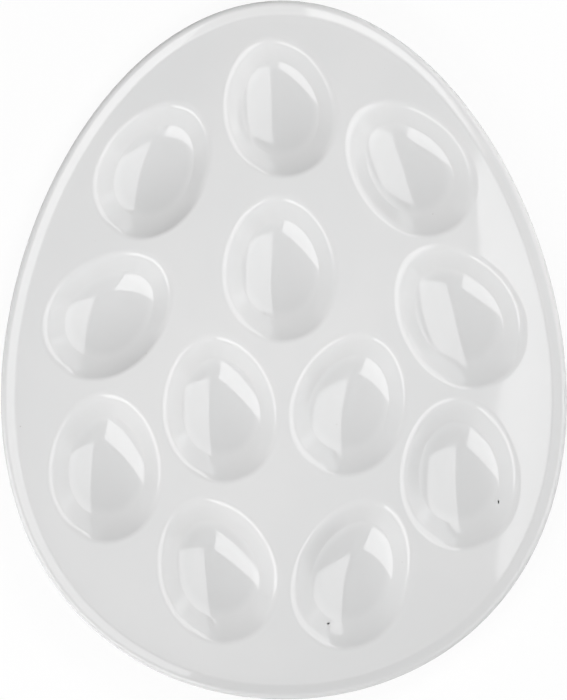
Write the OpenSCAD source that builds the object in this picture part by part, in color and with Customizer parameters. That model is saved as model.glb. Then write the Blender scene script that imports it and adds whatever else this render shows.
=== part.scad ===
// Egg-shaped stoneware platter with a raised lip and egg-shaped wells for halved eggs.
// The origin is on the table, under the middle of the platter.
// X runs across the platter, +Y points to its narrow end and Z is up.

/* [Egg wells] */
// Width of a typical well, across its mouth
well_width = 54; // [44:0.5:64]
// Length of a typical well, along its mouth
well_length = 70; // [58:0.5:82]
// How much a well narrows towards its small end, as a share of its width
well_taper_share = 0.09; // [0:0.01:0.18]
// Radius of the rounded edge of a well's mouth
mouth_radius = 5.6; // [5.5:0.1:7]
// Slope of a well's straight wall, in degrees
wall_slope = 42; // [38:1:52]
// Width of a well's straight wall, seen from above
wall_run = 5.2; // [3:0.1:6.5]
// Radius of the bend between a well's wall and its floor
bend_radius = 4; // [2:0.5:7]
// Slope at which a well's floor meets the bend, in degrees
floor_slope = 30; // [20:1:34]
// Thinnest land left between the mouths of two wells
land_width = 1.5; // [0.8:0.1:4]

/* [Deck] */
// Thickness of the clay in the deck, the wells and the lip
clay_thickness = 5; // [4:0.1:5.4]
// Narrowest flat border left between the wells and the raised lip
border_width = 3.6; // [3:0.1:10]

/* [Platter outline] */
// Width of the platter as a share of its length, with wells of typical width and length
outline_aspect_share = 0.81; // [0.78:0.01:0.86]
// How much the platter narrows towards its small end, as a share of its width
outline_taper_share = 0.14; // [0.1:0.01:0.16]
// How much fuller the outline is near its ends, as a share of its width
outline_fullness_share = 0.03; // [0.01:0.01:0.06]

/* [Raised lip] */
// Width of the raised lip, from the edge of the platter to the flat deck
lip_width = 7; // [6:0.1:10]
// Slope of the lip's inner side, in degrees
lip_slope = 27; // [18:1:34]
// Radius of the hollow where the lip rises from the deck
lip_hollow_radius = 3; // [2:0.1:4]
// Radius of the lip's crest
lip_crest_radius = 2.2; // [1.2:0.1:2.6]
// How far the lip's outer side leans in towards the table
lip_lean = 1.2; // [0.6:0.1:1.8]
// Radius of the lip's lower edge
lip_lower_radius = 2; // [1.2:0.1:2.4]

/* [Foot ring] */
// Gap left between the foot ring and the nearest well, under the deck
foot_setback = 0.6; // [0.4:0.1:1.6]
// Width of the foot ring where it joins the deck
foot_width = 5; // [4:0.1:6]
// How far each side of the foot ring leans in towards the table
foot_lean = 0.6; // [0.3:0.1:0.8]
// Size of the small bevel round the foot ring's bearing face
foot_bevel = 0.5; // [0.3:0.1:0.8]
// Height of the wells' undersides above the table
table_gap = 1.5; // [1:0.1:4]

/* [Hidden] */
// Sides of a well's outline and of the platter's outline
well_sides = 32;
rim_sides = 96;
rim_turns = [for (i = [0:rim_sides - 1]) i * 360 / rim_sides];
// Steps along the arcs of a well's section, on its inside and on its underside
inner_steps = [4, 2, 4];
under_steps = [1, 2, 2];
// Steps along the arcs of the raised lip's section
hollow_steps = 2;
crest_steps = 4;
lower_steps = 3;
// How far a cut runs past the faces that it opens
cut_overrun = 1;
// Half of the turn over which the outline's direction is measured, in degrees
chord_turn = 1;

glaze_colour = [0.93, 0.93, 0.92];
bare_clay_colour = [0.84, 0.80, 0.73];

// Each well as the potter set it: its place across and along the platter as shares of
// the wells' spacings, its turn in degrees, and its width and length as shares of a
// typical well's. The numbering runs from the narrow end to the broad end.
well_shares = [
    [-0.012, 1.536, 11, 0.98, 0.94],
    [-0.808, 1.147, -32, 0.93, 0.98],
    [0.804, 1.149, 40, 0.97, 1.01],
    [-0.016, 0.516, 2, 1.00, 0.98],
    [-1.101, 0.239, -48, 0.97, 0.98],
    [1.108, 0.212, 34, 1.02, 1.03],
    [-0.404, -0.366, 9.5, 1.00, 0.99],
    [0.422, -0.343, -18.5, 1.00, 0.97],
    [-1.131, -0.735, 0, 0.99, 1.00],
    [1.108, -0.790, 3, 1.02, 1.01],
    [-0.434, -1.389, 20.5, 1.02, 0.99],
    [0.434, -1.416, -22, 1.00, 1.03]
];
// Mean width of the wells as they are set, as a share of their mean length as they are
// set, at which both spacings are the same
spread_aspect_share = 0.845;

// An egg curve, whose narrow end points along +Y: its taper, its fullness and its peak
function egg_breadth(egg, turn) = cos(turn) * (1 - egg[0] * sin(turn) + egg[1] * pow(sin(turn), 2));
function egg_curve(taper, fullness) =
    [taper, fullness, max([for (turn = [-90:90]) egg_breadth([taper, fullness], turn)])];
function egg_point(half_across, half_along, egg, turn) =
    [half_across * egg_breadth(egg, turn) / egg[2], half_along * sin(turn)];
well_egg = egg_curve(well_taper_share, 0);
rim_egg = egg_curve(outline_taper_share, outline_fullness_share);

// Directions in which shapes are measured, and how far a shape reaches in each of them
direction_count = 72;
opposite = direction_count / 2;
quarter = direction_count / 4;
directions = [for (i = [0:direction_count - 1])
    [cos(i * 360 / direction_count), sin(i * 360 / direction_count)]];
function reaches(shape) =
    [for (direction = directions) max([for (point = shape) point * direction])];
function mean(values) = values * [for (value = values) 1 / len(values)];

// The spacings follow the wells' mean width and length as they are set. Both are the
// least ones that leave the land between each two wells.
well_reaches = [for (shares = well_shares) reaches(mouth_shape(shares))];
mean_across = mean([for (reach = well_reaches) reach[0] + reach[opposite]]);
mean_along = mean([for (reach = well_reaches) reach[quarter] + reach[opposite + quarter]]);
spread = [mean_across / mean_along / spread_aspect_share, 1];
function spread_place(shares) = [shares[0] * spread.x, shares[1] * spread.y];
function pair_spacing(first, second) =
    let (offset = spread_place(well_shares[second]) - spread_place(well_shares[first]))
    min([for (i = [0:direction_count - 1])
        let (run = offset * directions[i])
        if (run > 0)
            (well_reaches[first][i] + well_reaches[second][(i + opposite) % direction_count]
                + land_width) / run]);
well_spacing = max([for (first = [0:len(well_shares) - 2], second = [first + 1:len(well_shares) - 1])
    pair_spacing(first, second)]);

// The outline is the least one that leaves the border and the lip round all the wells
outline_spread_share = outline_aspect_share * spread.x;
unit_reaches = reaches([for (turn = rim_turns)
    egg_point(outline_spread_share, 1, rim_egg, turn)]);
half_length = max([for (i = [0:direction_count - 1])
    (max([for (w = [0:len(well_shares) - 1])
        well_centre(well_shares[w]) * directions[i] + well_reaches[w][i]])
        + border_width + lip_width) / unit_reaches[i]]);
half_width = outline_spread_share * half_length;

// Depth of a well of typical width, from the arcs and the straight wall of its section
mouth_reach = mouth_radius * sin(wall_slope);
bend_reach = bend_radius * (sin(wall_slope) - sin(floor_slope));
floor_radius = (well_width / 2 - mouth_reach - wall_run - bend_reach) / sin(floor_slope);
mouth_drop = mouth_radius * (1 - cos(wall_slope));
wall_drop = wall_run * tan(wall_slope);
bend_drop = bend_radius * (cos(floor_slope) - cos(wall_slope));
well_depth = mouth_drop + wall_drop + bend_drop + floor_radius * (1 - cos(floor_slope));

deck_top = well_depth + clay_thickness + table_gap;
deck_under = deck_top - clay_thickness;

well_names = [for (i = [1:len(well_shares)]) str("egg_well_", i < 10 ? "0" : "", i)];

// The platter's outline, and the direction out of it
function rim_point(turn) = egg_point(half_width, half_length, rim_egg, turn);
function rim_outward(turn) =
    let (chord = rim_point(turn + chord_turn) - rim_point(turn - chord_turn))
    [chord.y, -chord.x] / norm(chord);
function rim_inset(depth) =
    [for (turn = rim_turns) rim_point(turn) - depth * rim_outward(turn)];

// The outline of one well's mouth, in place on the platter
function turned(point, angle) =
    [point.x * cos(angle) - point.y * sin(angle), point.x * sin(angle) + point.y * cos(angle)];
function well_centre(shares) = spread_place(shares) * well_spacing;
function mouth_shape(shares) =
    [for (i = [0:well_sides - 1])
        turned(egg_point(well_width / 2 * shares[3], well_length / 2 * shares[4], well_egg,
                         i * 360 / well_sides), shares[2])];
function mouth_outline(shares) =
    [for (point = mouth_shape(shares)) well_centre(shares) + point];

// Half of a well's section from the mouth to the middle: each point is a distance from
// the middle and a height above the deck. The straight wall joins the first two arcs. The
// inside has no offset, and the underside runs on the same centres, one thickness of clay
// below.
function section_arcs(offset, steps) =
    let (mouth = mouth_radius - offset, bend = bend_radius + offset, bowl = floor_radius + offset,
         half = well_width / 2)
    concat(
        [for (i = [0:steps[0]]) let (slope = wall_slope * i / steps[0])
            [half - mouth * sin(slope), mouth * cos(slope) - mouth_radius]],
        [for (i = [0:steps[1]]) let (slope = wall_slope + (floor_slope - wall_slope) * i / steps[1])
            [half - mouth_reach - wall_run - bend_radius * sin(wall_slope) + bend * sin(slope),
             bend_radius * cos(wall_slope) - mouth_drop - wall_drop - bend * cos(slope)]],
        [for (i = [1:steps[2]]) let (slope = floor_slope * (1 - i / steps[2]))
            [bowl * sin(slope), floor_radius - well_depth - bowl * cos(slope)]]);

// One ring of a well: its mouth drawn in to a share of its size, at a height
function well_ring(shares, level) =
    [for (point = mouth_shape(shares))
        concat(well_centre(shares) + point * level[0] / (well_width / 2), [deck_top + level[1]])];

// Faces of a closed skin over rings that start and end in a single point
function ring_faces(rings, sides) =
    concat(
        [for (i = [0:sides - 1]) [0, 1 + i, 1 + (i + 1) % sides]],
        [for (ring = [0:rings - 2], i = [0:sides - 1])
            let (here = 1 + ring * sides, next = here + sides, j = (i + 1) % sides)
            [here + i, next + i, next + j, here + j]],
        [for (i = [0:sides - 1])
            let (here = 1 + (rings - 1) * sides)
            [here + i, 1 + rings * sides, here + (i + 1) % sides]]);

// Faces of a closed skin round a loop of sections
function loop_faces(stations, count) =
    [for (station = [0:stations - 1], i = [0:count - 1])
        let (here = station * count, next = ((station + 1) % stations) * count, j = (i + 1) % count)
        [here + i, here + j, next + j, next + i]];

// A ring that follows the platter's outline: each section point is a distance in from
// the edge and a height above the table
module rim_sweep(section) {
    polyhedron(
        points = [for (turn = rim_turns, point = section)
            concat(rim_point(turn) - point.x * rim_outward(turn), [point.y])],
        faces = loop_faces(rim_sides, len(section)),
        convexity = 4);
}

// The flat web that carries the wells
module deck() {
    color(glaze_colour)
    difference() {
        translate([0, 0, deck_under])
        linear_extrude(height = clay_thickness)
        polygon(rim_inset(lip_width));
        for (shares = well_shares)
            translate([0, 0, deck_under - cut_overrun])
            linear_extrude(height = clay_thickness + 2 * cut_overrun)
            polygon(mouth_outline(shares));
    }
}

// The lip's section, from the deck over the crest and back under to the deck
lip_hollow = [for (i = [0:hollow_steps]) let (slope = lip_slope * i / hollow_steps)
    [lip_width - lip_hollow_radius * sin(slope), lip_hollow_radius * (1 - cos(slope))]];
lip_ramp = lip_width - lip_hollow_radius * sin(lip_slope) - lip_crest_radius * (1 + sin(lip_slope));
lip_crest_centre = lip_hollow_radius * (1 - cos(lip_slope)) + lip_ramp * tan(lip_slope)
    - lip_crest_radius * cos(lip_slope);
lip_crest = [for (i = [0:crest_steps]) let (slope = 90 + lip_slope - (90 + lip_slope) * i / crest_steps)
    [lip_crest_radius * (1 - cos(slope)), lip_crest_centre + lip_crest_radius * sin(slope)]];

module raised_lip() {
    lower = [for (i = [0:lower_steps]) let (slope = 90 * i / lower_steps)
        [lip_lean + lip_lower_radius * (1 - cos(slope)),
         lip_lower_radius * (1 - sin(slope)) - clay_thickness]];
    section = concat(lip_hollow, lip_crest, lower, [[lip_width, -clay_thickness]]);
    color(glaze_colour)
    rim_sweep([for (point = section) point + [0, deck_top]]);
}

// The ring of bare clay that the platter stands on
module foot_ring() {
    far_inset = lip_width + border_width - foot_setback;
    foot_inset = far_inset - foot_width;
    color(bare_clay_colour)
    rim_sweep([
        [foot_inset, deck_under],
        [foot_inset + foot_lean, foot_bevel],
        [foot_inset + foot_lean + foot_bevel, 0],
        [far_inset - foot_lean - foot_bevel, 0],
        [far_inset - foot_lean, foot_bevel],
        [far_inset, deck_under]
    ]);
}

// One cup, from the edge of its mouth down, as thick as the deck
module egg_well(shares) {
    inside = section_arcs(0, inner_steps);
    underside = section_arcs(clay_thickness, under_steps);
    inner_rings = [for (i = [len(inside) - 2:-1:0]) inside[i]];
    under_rings = [for (i = [0:len(underside) - 2]) underside[i]];
    levels = concat(inner_rings, under_rings);
    middle = well_centre(shares);
    color(glaze_colour)
    polyhedron(
        points = concat(
            [concat(middle, [deck_top - well_depth])],
            [for (level = levels, point = well_ring(shares, level)) point],
            [concat(middle, [deck_top - well_depth - clay_thickness])]),
        faces = ring_faces(len(levels), well_sides),
        convexity = 4);
}

deck();
raised_lip();
foot_ring();
for (i = [0:len(well_shares) - 1])
    egg_well(well_shares[i]);
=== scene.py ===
import math

import bmesh
import bpy
from mathutils import Matrix, Vector, noise


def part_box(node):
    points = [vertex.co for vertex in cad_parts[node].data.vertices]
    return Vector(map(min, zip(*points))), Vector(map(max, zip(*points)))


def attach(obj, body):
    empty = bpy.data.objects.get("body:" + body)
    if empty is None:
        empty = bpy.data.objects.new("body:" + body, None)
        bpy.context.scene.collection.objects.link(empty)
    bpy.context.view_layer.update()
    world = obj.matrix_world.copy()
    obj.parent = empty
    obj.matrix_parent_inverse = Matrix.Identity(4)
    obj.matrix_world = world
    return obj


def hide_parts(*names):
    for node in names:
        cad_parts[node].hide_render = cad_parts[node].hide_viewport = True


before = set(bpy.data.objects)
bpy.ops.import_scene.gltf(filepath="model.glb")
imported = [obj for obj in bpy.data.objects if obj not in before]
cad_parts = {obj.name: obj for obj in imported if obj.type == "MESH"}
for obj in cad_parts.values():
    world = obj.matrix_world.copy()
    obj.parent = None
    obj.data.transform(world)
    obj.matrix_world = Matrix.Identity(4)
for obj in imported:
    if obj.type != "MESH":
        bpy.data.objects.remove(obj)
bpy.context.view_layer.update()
print("frame loaded:", len(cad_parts), "nodes")

# lengths in metres, angles in degrees; +Y is the platter's narrow end and the picture's top
deckUnder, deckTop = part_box("deck")[0].z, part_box("deck")[1].z
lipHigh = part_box("raised_lip")[1]

outline = {
    "halfWidth": lipHigh.x,
    "halfLength": lipHigh.y,
    "taper": 0.14,
    "fullness": 0.03,
    "stations": 384,
}

lip = {
    "width": 0.007,
    "slope": 27,
    "hollowRadius": 0.003,
    "crestRadius": 0.0022,
    "lean": 0.0012,
    "lowerRadius": 0.002,
    "hollowSteps": 6,
    "crestSteps": 14,
    "lowerSteps": 8,
}

footRing = {
    "outerInset": 0.005,
    "innerInset": 0.010,
    "lean": 0.0006,
    "edgeRadius": 0.0008,
    "fillet": 0.0012,
    "edgeSteps": 6,
    "bareHeight": 0.0016,
}

eggWell = {
    "width": 0.054,
    "length": 0.070,
    "taper": 0.09,
    "mouthRadius": 0.0056,
    "wallSlope": 42,
    "wallRun": 0.0052,
    "bendRadius": 0.004,
    "floorSlope": 30,
    "sides": 128,
    "insideSteps": (14, 8, 6, 14),
    "undersideSteps": (2, 4, 4, 8),
    "tightRadius": 0.0026,
    "tightSlope": 47,
    "tightFacing": (0.32, -0.947),
    "tightSpread": (0.6, 0.95),  # cosines between which the tight side fades in
}

# each well: place across and along in spacings, turn, shares of the width and the length
wellTable = [
    (-0.012, 1.536, 11, 0.98, 0.94),
    (-0.808, 1.147, -32, 0.93, 0.98),
    (0.804, 1.149, 40, 0.97, 1.01),
    (-0.016, 0.516, 2, 1.00, 0.98),
    (-1.101, 0.239, -48, 0.97, 0.98),
    (1.108, 0.212, 34, 1.02, 1.03),
    (-0.404, -0.366, 9.5, 1.00, 0.99),
    (0.422, -0.343, -18.5, 1.00, 0.97),
    (-1.131, -0.735, 0, 0.99, 1.00),
    (1.108, -0.790, 3, 1.02, 1.01),
    (-0.434, -1.389, 20.5, 1.02, 0.99),
    (0.434, -1.416, -22, 1.00, 1.03),
]
# well 9 isn't turned, so its box gives the spacing
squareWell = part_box("egg_well_09")
wellSpacing = (squareWell[0].x + squareWell[1].x) / 2 / wellTable[8][0]

# the hand-thrown surface is never quite flat: (height, wavelength) of its slow waves
unevenness = [(0.00022, 0.055), (0.00005, 0.018)]
wavePlace = 7.4
deckCell = 0.004  # size of the deck's mesh


def sine(degrees):
    return math.sin(math.radians(degrees))


def cosine(degrees):
    return math.cos(math.radians(degrees))


# shapes seen from above

def eggBreadth(taper, fullness, turn):
    return cosine(turn) * (1 - taper * sine(turn) + fullness * sine(turn) ** 2)


def eggPeak(taper, fullness):
    return max(eggBreadth(taper, fullness, turn) for turn in range(-90, 91))


outlinePeak = eggPeak(outline["taper"], outline["fullness"])
wellPeak = eggPeak(eggWell["taper"], 0)


def outlinePoint(turn, inset=0.0):
    def edge(angle):
        breadth = eggBreadth(outline["taper"], outline["fullness"], angle) / outlinePeak
        return Vector((outline["halfWidth"] * breadth, outline["halfLength"] * sine(angle)))

    chord = edge(turn + 1) - edge(turn - 1)
    outward = Vector((chord.y, -chord.x)).normalized()
    return edge(turn) - inset * outward


def mouthPoint(well, turn):
    across, along, angle, widthShare, lengthShare = well
    x = eggWell["width"] / 2 * widthShare * eggBreadth(eggWell["taper"], 0, turn) / wellPeak
    y = eggWell["length"] / 2 * lengthShare * sine(turn)
    centre = Vector((across, along)) * wellSpacing
    return centre + Vector((x * cosine(angle) - y * sine(angle), x * sine(angle) + y * cosine(angle)))


def stationTurns(count):
    return [index * 360 / count for index in range(count)]


# slow waves of the surface

def waveAt(x, y):
    return sum(height * noise.noise(Vector((x, y, wavePlace)) / length) for height, length in unevenness)


def waveNormal(x, y, reach=0.0005):
    acrossSlope = (waveAt(x + reach, y) - waveAt(x - reach, y)) / (2 * reach)
    alongSlope = (waveAt(x, y + reach) - waveAt(x, y - reach)) / (2 * reach)
    return Vector((-acrossSlope, -alongSlope, 1)).normalized()


def waveVertices(vertices):
    # the waves fade out towards the table, so the foot ring stands flat
    for vertex in vertices:
        share = max(0.0, min(1.0, vertex.co.z / deckUnder))
        vertex.co.z += share * waveAt(vertex.co.x, vertex.co.y)


# making and finishing pieces

def shapedCircle(bm, points, height):
    # a circle of vertices moved on to the given outline
    made = bmesh.ops.create_circle(bm, segments=len(points), radius=1.0)
    for vertex, point in zip(made["verts"], points):
        vertex.co = (point.x, point.y, height)
    return list({edge for vertex in made["verts"] for edge in vertex.link_edges})


def extrudedRing(bm, ring):
    made = bmesh.ops.extrude_edge_only(bm, edges=ring)["geom"]
    return (
        [part for part in made if isinstance(part, bmesh.types.BMVert)],
        [part for part in made if isinstance(part, bmesh.types.BMEdge)],
    )


def seamSide(vertex):
    # up on the deck's top, down on its underside, where the shading runs on to the neighbour
    if abs(vertex.co.z - deckTop) < 1e-6:
        return 1
    return -1 if abs(vertex.co.z - deckUnder) < 1e-6 else 0


def finishedPiece(bm, name, node, material):
    bmesh.ops.remove_doubles(bm, verts=bm.verts, dist=1e-7)
    bmesh.ops.recalc_face_normals(bm, faces=bm.faces)
    sides = [seamSide(vertex) for vertex in bm.verts]
    waveVertices(bm.verts)
    mesh = bpy.data.meshes.new(name)
    bm.to_mesh(mesh)
    bm.free()
    mesh.shade_smooth()
    # a zero leaves the normal as it is
    mesh.normals_split_custom_set_from_vertices([
        side * waveNormal(vertex.co.x, vertex.co.y) for vertex, side in zip(mesh.vertices, sides)
    ])
    piece = bpy.data.objects.new(name, mesh)
    bpy.context.scene.collection.objects.link(piece)
    piece.data.materials.append(material)
    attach(piece, "root")
    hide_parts(node)
    return piece


# shader helper: sums of sockets become nodes

class Wire:
    def __init__(self, tree, socket=None):
        self.tree, self.socket = tree, socket

    def node(self, kind, settings=None, values=None, output=0):
        made = self.tree.nodes.new(kind)
        for name, value in (settings or {}).items():
            setattr(made, name, value)
        for name, value in (values or {}).items():
            if isinstance(value, Wire):
                self.tree.links.new(value.socket, made.inputs[name])
            else:
                made.inputs[name].default_value = value
        return Wire(self.tree, made.outputs[output] if len(made.outputs) else None)

    def maths(self, operation, first, second):
        return self.node("ShaderNodeMath", {"operation": operation}, {0: first, 1: second})

    def __add__(self, other):
        return self.maths("ADD", self, other)

    def __radd__(self, other):
        return self.maths("ADD", other, self)

    def __sub__(self, other):
        return self.maths("SUBTRACT", self, other)

    def __rsub__(self, other):
        return self.maths("SUBTRACT", other, self)

    def __mul__(self, other):
        return self.maths("MULTIPLY", self, other)

    def __rmul__(self, other):
        return self.maths("MULTIPLY", other, self)

    def ramp(self, low, high, start=0.0, end=1.0):
        # a smooth step from start to end while this value runs from low to high
        return self.node(
            "ShaderNodeMapRange",
            {"interpolation_type": "SMOOTHSTEP"},
            {"Value": self, "From Min": low, "From Max": high, "To Min": start, "To Max": end},
        )

    def blend(self, first, second):
        # a mix of two colours, this value being the second one's share
        return self.node(
            "ShaderNodeMix",
            {"data_type": "RGBA"},
            {"Factor": self, 6: first, 7: second},
            output=2,
        )

    def grain(self, place, size, detail=2.0, roughness=0.5):
        return self.node(
            "ShaderNodeTexNoise",
            None,
            {"Vector": place, "Scale": 1 / size, "Detail": detail, "Roughness": roughness},
        )


def newMaterial(name):
    material = bpy.data.materials.new(name)
    material.use_nodes = True
    material.node_tree.nodes.clear()
    start = Wire(material.node_tree)
    place = start.node("ShaderNodeTexCoord", output="Object")
    return material, start, place


def finishMaterial(material, start, values):
    shader = start.node("ShaderNodeBsdfPrincipled", None, values)
    start.node("ShaderNodeOutputMaterial", None, {"Surface": shader})
    return material


glaze = {
    "white": (0.69, 0.69, 0.69, 1),
    "thick": (0.675, 0.677, 0.678, 1),
    # a darker tone for the depths: partly glaze pooled in the wells, partly painted shade
    "pooledAndPaintedShade": (0.645, 0.647, 0.648, 1),
    "poolAndShadeDepth": (0.0065, 0.0085),
    "driftSize": 0.05,
    "speck": (0.36, 0.33, 0.30, 1),
    "speckCell": 0.0147,
    "speckRadius": 0.00022,
    "roughness": (0.03, 0.06),
    "polishSize": 0.03,
    "ripple": 0.000012,
    "rippleSize": 0.009,
    "dimple": 0.000002,
    "dimpleSize": 0.0025,
}


def glazeColour(start, place):
    # slow drifts of tone where the glaze lies thicker
    drift = start.grain(place, glaze["driftSize"], detail=3).ramp(0.35, 0.65)
    colour = drift.blend(glaze["white"], glaze["thick"])
    # it also ran down into the bowls of the wells: everything lying deeper below the deck's top is darker,
    # partly pooled glaze and partly painted shade in the wells' depths
    depth = deckTop - start.node("ShaderNodeSeparateXYZ", None, {"Vector": place}, output="Z")
    colour = depth.ramp(*glaze["poolAndShadeDepth"]).blend(colour, glaze["pooledAndPaintedShade"])
    # and a few fine iron specks, strong in some cells and faint in others
    values = {"Vector": place, "Scale": 1 / glaze["speckCell"]}
    distance = start.node("ShaderNodeTexVoronoi", None, values, output="Distance")
    chance = start.node("ShaderNodeTexVoronoi", None, values, output="Color")
    chance = chance.node("ShaderNodeSeparateColor", None, {"Color": chance})
    radius = glaze["speckRadius"] / glaze["speckCell"]
    speck = distance.ramp(0.6 * radius, 1.4 * radius, 1.0, 0.0) * chance.ramp(0.2, 0.9, 0.2, 0.8)
    return speck.blend(colour, glaze["speck"])


def glazeHeight(start, place):
    ripple = start.grain(place, glaze["rippleSize"], detail=1) * glaze["ripple"]
    return ripple + start.grain(place, glaze["dimpleSize"], detail=1) * glaze["dimple"]


def glazeMaterial():
    material, start, place = newMaterial("whiteGlaze")
    low, high = glaze["roughness"]
    bump = start.node("ShaderNodeBump", None, {
        "Strength": 1.0, "Distance": 1.0, "Height": glazeHeight(start, place)})
    return finishMaterial(material, start, {
        "Base Color": glazeColour(start, place),
        "Roughness": start.grain(place, glaze["polishSize"]).ramp(0.3, 0.7, low, high),
        "IOR": 1.5,
        "Normal": bump,
    })


clay = {
    "body": (0.48, 0.39, 0.28, 1),
    "light": (0.60, 0.51, 0.39, 1),
    "toneSize": 0.004,
    "grit": (0.22, 0.16, 0.11, 1),
    "gritSize": 0.0007,
    "roughness": 0.75,
    "grain": 0.00004,
    "grainSize": 0.0008,
    "edgeWander": 0.0006,
    "edgeWave": 0.012,
    "edgeBlur": 0.0002,
}


def footMaterial():
    # glazed above, wiped bare where the ring meets the table
    material, start, place = newMaterial("footRingClay")
    height = start.node("ShaderNodeSeparateXYZ", None, {"Vector": place}, output="Z")
    wander = (start.grain(place, clay["edgeWave"]) - 0.5) * (2 * clay["edgeWander"])
    bareTop, blur = footRing["bareHeight"], clay["edgeBlur"]
    glazed = (height + wander).ramp(bareTop - blur, bareTop + blur)
    body = start.grain(place, clay["toneSize"], detail=4).ramp(0.3, 0.7)
    body = body.blend(clay["body"], clay["light"])
    grit = start.grain(place, clay["gritSize"], detail=0).ramp(0.66, 0.74)
    bareColour = grit.blend(body, clay["grit"])
    colour = glazed.blend(bareColour, glazeColour(start, place))
    bareHeight = start.grain(place, clay["grainSize"], detail=3) * clay["grain"]
    surface = glazed * glazeHeight(start, place) + (1 - glazed) * bareHeight
    bump = start.node("ShaderNodeBump", None, {"Strength": 1.0, "Distance": 1.0, "Height": surface})
    return finishMaterial(material, start, {
        "Base Color": colour,
        "Roughness": glazed.ramp(0.0, 1.0, clay["roughness"], glaze["roughness"][1]),
        "IOR": 1.5,
        "Normal": bump,
    })


glazeFinish = glazeMaterial()
footFinish = footMaterial()
print("materials made")


# egg wells

def arc(centreX, centreZ, radius, first, last, steps):
    # points at the slopes from first to last; a negative radius bulges the other way
    for index in range(steps + 1):
        slope = first + (last - first) * index / steps
        yield centreX + radius * sine(slope), centreZ - radius * cosine(slope)


def wellSection(offset, steps):
    # from the mouth to the middle: distance from the middle, height above the deck
    half, wall, floor = eggWell["width"] / 2, eggWell["wallSlope"], eggWell["floorSlope"]
    mouth, run, bend = eggWell["mouthRadius"], eggWell["wallRun"], eggWell["bendRadius"]
    bendX = half - (mouth + bend) * sine(wall) - run
    bendZ = (mouth + bend) * cosine(wall) - mouth - run * sine(wall) / cosine(wall)
    bowl = (bendX + bend * sine(floor)) / sine(floor)
    bowlZ = bendZ - bend * cosine(floor) + bowl * cosine(floor)
    points = list(arc(half, -mouth, offset - mouth, 0, wall, steps[0]))
    lowerWall = list(arc(bendX, bendZ, bend + offset, wall, floor, steps[2]))
    top, foot = Vector(points[-1]), Vector(lowerWall[0])
    points += [tuple(top.lerp(foot, index / steps[1])) for index in range(1, steps[1])] + lowerWall
    points += list(arc(0, bowlZ, bowl + offset, floor, 0, steps[3]))[1:]
    return points


def bowlEdge():
    half, wall, floor = eggWell["width"] / 2, eggWell["wallSlope"], eggWell["floorSlope"]
    mouth, run, bend = eggWell["mouthRadius"], eggWell["wallRun"], eggWell["bendRadius"]
    # from the well's middle out to the bowl's edge, and down to it from the deck
    across = half - (mouth + bend) * sine(wall) - run + bend * sine(floor)
    down = mouth + run * sine(wall) / cosine(wall) - (mouth + bend) * cosine(wall) + bend * cosine(floor)
    return across, down


def tightHeight(distance):
    # a well's tight side: a small rounding at the mouth, then one hollow arc to the bowl's edge
    half, radius, slope = eggWell["width"] / 2, eggWell["tightRadius"], eggWell["tightSlope"]
    if half - distance < radius * sine(slope):
        return math.sqrt(radius ** 2 - (half - distance) ** 2) - radius
    across, down = bowlEdge()
    run, drop = half - radius * sine(slope) - across, down - radius * (1 - cosine(slope))
    endSlope = 2 * math.degrees(math.atan(drop / run)) - slope
    hollow = run / (sine(slope) - sine(endSlope))
    reach = distance - half + (radius + hollow) * sine(slope)
    return (radius + hollow) * cosine(slope) - radius - math.sqrt(hollow ** 2 - reach ** 2)


def tightenSide(rings, centre, angle):
    # towards the platter's broad end the hand-made mouths are less rounded
    turned = Matrix.Rotation(math.radians(angle), 2)
    low, high = eggWell["tightSpread"]
    for vertices, distance, height in rings:
        if distance <= bowlEdge()[0]:
            return
        for vertex in vertices:
            spot = turned.transposed() @ (vertex.co.xy - centre)
            facing = turned @ Vector((spot.x / eggWell["width"] ** 2, spot.y / eggWell["length"] ** 2))
            share = (facing.normalized().dot(Vector(eggWell["tightFacing"])) - low) / (high - low)
            share = max(0.0, min(1.0, share))
            vertex.co.z += share * share * (3 - 2 * share) * (tightHeight(distance) - height)


def sinkSkin(bm, ring, centre, level, section):
    # rings drawn in and let down along the section, closed in a single point
    share, rings = 1.0, []
    for distance, height in section:
        vertices, ring = extrudedRing(bm, ring)
        newShare = distance / (eggWell["width"] / 2)
        if newShare < 1e-6:
            bmesh.ops.pointmerge(bm, verts=vertices, merge_co=(centre.x, centre.y, deckTop + height))
            return rings
        rings.append((vertices, distance, height))
        factor = newShare / share
        bmesh.ops.translate(bm, vec=(-centre.x, -centre.y, 0), verts=vertices)
        bmesh.ops.scale(bm, vec=(factor, factor, 1), verts=vertices)
        bmesh.ops.translate(bm, vec=(centre.x, centre.y, deckTop + height - level), verts=vertices)
        share, level = newShare, deckTop + height


def makeWell(number, well):
    bm = bmesh.new()
    centre = Vector(well[:2]) * wellSpacing
    points = [mouthPoint(well, turn) for turn in stationTurns(eggWell["sides"])]
    ring = shapedCircle(bm, points, deckTop)
    rings = sinkSkin(bm, ring, centre, deckTop, wellSection(0, eggWell["insideSteps"])[1:])
    tightenSide(rings, centre, well[2])
    sinkSkin(bm, ring, centre, deckTop, wellSection(deckTop - deckUnder, eggWell["undersideSteps"]))
    node = f"egg_well_{number:02d}"
    return finishedPiece(bm, node + "_glazed", node, glazeFinish)


for number, well in enumerate(wellTable, 1):
    makeWell(number, well)
print("wells made")


# deck

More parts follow.
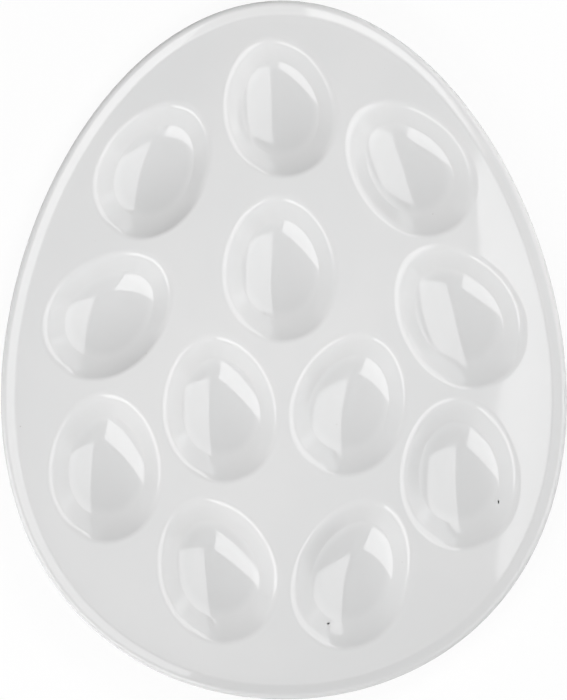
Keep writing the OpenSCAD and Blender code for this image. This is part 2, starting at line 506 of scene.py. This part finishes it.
def makeDeck():
    bm = bmesh.new()
    turns = stationTurns(outline["stations"])
    edges = shapedCircle(bm, [outlinePoint(turn, lip["width"]) for turn in turns], deckTop)
    for well in wellTable:
        points = [mouthPoint(well, turn) for turn in stationTurns(eggWell["sides"])]
        edges += shapedCircle(bm, points, deckTop)
    bmesh.ops.triangle_fill(bm, use_beauty=True, edges=edges, normal=(0, 0, 1))
    # cut into cells, so that the surface can follow its slow waves
    for axis, half in ((0, outline["halfWidth"]), (1, outline["halfLength"])):
        cuts = int(half / deckCell)
        for index in range(-cuts, cuts + 1):
            spot, normal = Vector((0, 0, 0)), Vector((0, 0, 0))
            spot[axis], normal[axis] = index * deckCell, 1
            bmesh.ops.bisect_plane(bm, geom=bm.verts[:] + bm.edges[:] + bm.faces[:],
                                   dist=1e-7, plane_co=spot, plane_no=normal)
    made = bmesh.ops.extrude_face_region(bm, geom=bm.faces[:])["geom"]
    lower = [part for part in made if isinstance(part, bmesh.types.BMVert)]
    bmesh.ops.translate(bm, vec=(0, 0, deckUnder - deckTop), verts=lower)
    return finishedPiece(bm, "deck_glazed", "deck", glazeFinish)


# raised lip and foot ring

def sweptRing(bm, section):
    # the section, in distances in from the edge and heights, carried round the outline
    turns = stationTurns(outline["stations"])
    station = bm.verts.layers.int.new("station")
    inset, height = section[0]
    ring = shapedCircle(bm, [outlinePoint(turn, inset) for turn in turns], height)
    bm.verts.ensure_lookup_table()
    for index, vertex in enumerate(bm.verts):
        vertex[station] = index
    for inset, height in section[1:] + section[:1]:
        points = [outlinePoint(turn, inset) for turn in turns]
        vertices, ring = extrudedRing(bm, ring)
        for vertex in vertices:
            point = points[vertex[station]]
            vertex.co = (point.x, point.y, height)
    bm.verts.layers.int.remove(station)


def lipSection():
    slope, hollow, crest = lip["slope"], lip["hollowRadius"], lip["crestRadius"]
    rampRun = lip["width"] - hollow * sine(slope) - crest * (1 + sine(slope))
    crestZ = hollow * (1 - cosine(slope)) + rampRun * math.tan(math.radians(slope)) - crest * cosine(slope)
    section = []
    for index in range(lip["hollowSteps"] + 1):
        angle = slope * index / lip["hollowSteps"]
        section.append((lip["width"] - hollow * sine(angle), hollow * (1 - cosine(angle))))
    for index in range(lip["crestSteps"] + 1):
        angle = (90 + slope) * (1 - index / lip["crestSteps"])
        section.append((crest * (1 - cosine(angle)), crestZ + crest * sine(angle)))
    for index in range(lip["lowerSteps"] + 1):
        angle = 90 * index / lip["lowerSteps"]
        section.append((lip["lean"] + lip["lowerRadius"] * (1 - cosine(angle)),
                        lip["lowerRadius"] * (1 - sine(angle)) + deckUnder - deckTop))
    section.append((lip["width"], deckUnder - deckTop))
    return [(inset, deckTop + height) for inset, height in section]


def makeLip():
    bm = bmesh.new()
    sweptRing(bm, lipSection())
    return finishedPiece(bm, "raised_lip_glazed", "raised_lip", glazeFinish)


def footSide(corner, inwards):
    # one side of the ring, from the fillet under the deck to the rounded edge of its foot
    fillet, edge, steps = footRing["fillet"], footRing["edgeRadius"], footRing["edgeSteps"]
    points = []
    for index in range(steps + 1):
        angle = 90 * index / steps
        points.append((corner - inwards * fillet * (1 - sine(angle)),
                       deckUnder - fillet * (1 - cosine(angle))))
    foot = corner + inwards * footRing["lean"]
    for index in range(steps + 1):
        angle = 90 * index / steps
        points.append((foot + inwards * edge * (1 - cosine(angle)), edge * (1 - sine(angle))))
    return points


def footSection():
    return footSide(footRing["outerInset"], 1) + footSide(footRing["innerInset"], -1)[::-1]


def makeFootRing():
    bm = bmesh.new()
    sweptRing(bm, footSection())
    return finishedPiece(bm, "foot_ring_fired", "foot_ring", footFinish)


makeDeck()
makeLip()
makeFootRing()
print("deck, lip and foot ring made")


# stage: white floor, lamps, camera

studio = {
    "floorSize": 6.0,
    "floorGlow": 0.90,
    "floorShine": 0.30,
    "floorColour": (0.93, 0.93, 0.93, 1),
    "backdrop": 1.0,
    "ambient": 0.05,
}

# lamps: place above the deck, size, turn about Y and Z, brightness of the light that falls
# on the glaze, brightness of what the gloss shows
lamps = {
    "sideSoftbox": ((0.62, 0.20, 0.80), (0.86, 1.30), (0, 0), 0.0, 2.9),
    "frontPanel": ((-0.89, -0.40, 0.80), (1.55, 0.50), (0, -22), 4.3, 3.8),
    "backRightKey": ((0.60, 0.60, 0.80), (0.60, 0.50), (0, 0), 7.7, 0.0),
    "overheadFill": ((0.0, 0.02, 0.30), (0.14, 0.14), (0, 0), 3.9, 0.0),
    "rightFill": ((1.30, 0.0, 0.40), (0.70, 1.60), (90, 0), 2.6, 0.9),
    "backRightFill": ((0.92, 0.92, 0.40), (0.70, 1.20), (90, 45), 0.0, 1.25),
    "frontLeftFill": ((-0.92, -0.92, 0.40), (0.70, 1.20), (90, 225), 3.5, 0.2),
    "frontRightFill": ((0.92, -0.92, 0.40), (0.70, 1.20), (90, -45), 0.0, 0.3),
}

cameraView = {
    "distance": 0.82,
    "frameHeight": 0.315,
    "sensor": 36.0,
    "roll": -0.0076,
}


def seenMask(start, byCamera, inShine):
    # byCamera for what the camera sees, inShine for what a gloss or a clear body shows, else zero
    camera = start.node("ShaderNodeLightPath", output="Is Camera Ray") * byCamera
    gloss = start.node("ShaderNodeLightPath", output="Is Glossy Ray")
    clear = start.node("ShaderNodeLightPath", output="Is Transmission Ray")
    return camera.maths("MAXIMUM", camera, camera.maths("MAXIMUM", gloss, clear) * inShine)


def makeFloor():
    bm = bmesh.new()
    bmesh.ops.create_grid(bm, x_segments=1, y_segments=1, size=studio["floorSize"] / 2)
    mesh = bpy.data.meshes.new("floor")
    bm.to_mesh(mesh)
    bm.free()
    floor = bpy.data.objects.new("floor", mesh)
    bpy.context.scene.collection.objects.link(floor)
    material = bpy.data.materials.new("paleFloor")
    material.use_nodes = True
    material.node_tree.nodes.clear()
    start = Wire(material.node_tree)
    matte = start.node("ShaderNodeBsdfDiffuse", None, {"Color": studio["floorColour"]})
    glow = start.node("ShaderNodeEmission", None, {"Color": (1, 1, 1, 1), "Strength": 1.0})
    # in the open both are white; where the glow is the smaller share, the shadow shows more
    share = seenMask(start, studio["floorGlow"], studio["floorShine"])
    mixed = start.node("ShaderNodeMixShader", None, {0: share, 1: matte, 2: glow})
    start.node("ShaderNodeOutputMaterial", None, {"Surface": mixed})
    floor.data.materials.append(material)


def makeWorld():
    world = bpy.data.worlds.new("paleStudio")
    world.use_nodes = True
    world.node_tree.nodes.clear()
    start = Wire(world.node_tree)
    seen = seenMask(start, 1.0, 1.0)
    strength = seen.ramp(0.0, 1.0, studio["ambient"], studio["backdrop"])
    light = start.node("ShaderNodeBackground", None, {"Color": (1, 1, 1, 1), "Strength": strength})
    start.node("ShaderNodeOutputWorld", None, {"Surface": light})
    bpy.context.scene.world = world


def makeLamp(name, place, size, turn, brightness, inGloss):
    lamp = bpy.data.lights.new(name, "AREA")
    lamp.shape = "RECTANGLE"
    lamp.size, lamp.size_y = size
    # an even lamp's brightness is its energy over pi times its area
    lamp.energy = brightness * size[0] * size[1] * math.pi
    holder = bpy.data.objects.new(name, lamp)
    holder.location = Vector(place) + Vector((0, 0, deckTop))
    holder.rotation_euler = (0, math.radians(turn[0]), math.radians(turn[1]))
    holder.visible_camera = False
    holder.visible_diffuse = not inGloss
    holder.visible_glossy = inGloss
    # a matte lamp isn't met by reflected rays, so it can't hide its shine in the same place
    lamp.cycles.use_multiple_importance_sampling = inGloss
    bpy.context.scene.collection.objects.link(holder)


def makeCamera():
    camera = bpy.data.cameras.new("camera")
    camera.sensor_width = cameraView["sensor"]
    camera.lens = cameraView["sensor"] * cameraView["distance"] / cameraView["frameHeight"]
    camera.clip_start, camera.clip_end = 0.01, 50
    holder = bpy.data.objects.new("camera", camera)
    holder.location = (0, 0, deckTop + cameraView["distance"])
    holder.rotation_euler = (0, 0, cameraView["roll"])
    bpy.context.scene.collection.objects.link(holder)
    bpy.context.scene.camera = holder


makeFloor()
makeWorld()
for name, (place, size, turn, onGlaze, inGloss) in lamps.items():
    if onGlaze:
        makeLamp(name, place, size, turn, onGlaze, False)
    if inGloss:
        makeLamp(name + "Shine", place, size, turn, inGloss, True)
makeCamera()
bpy.context.scene.view_settings.view_transform = "Standard"
print("stage, lamps and camera made")
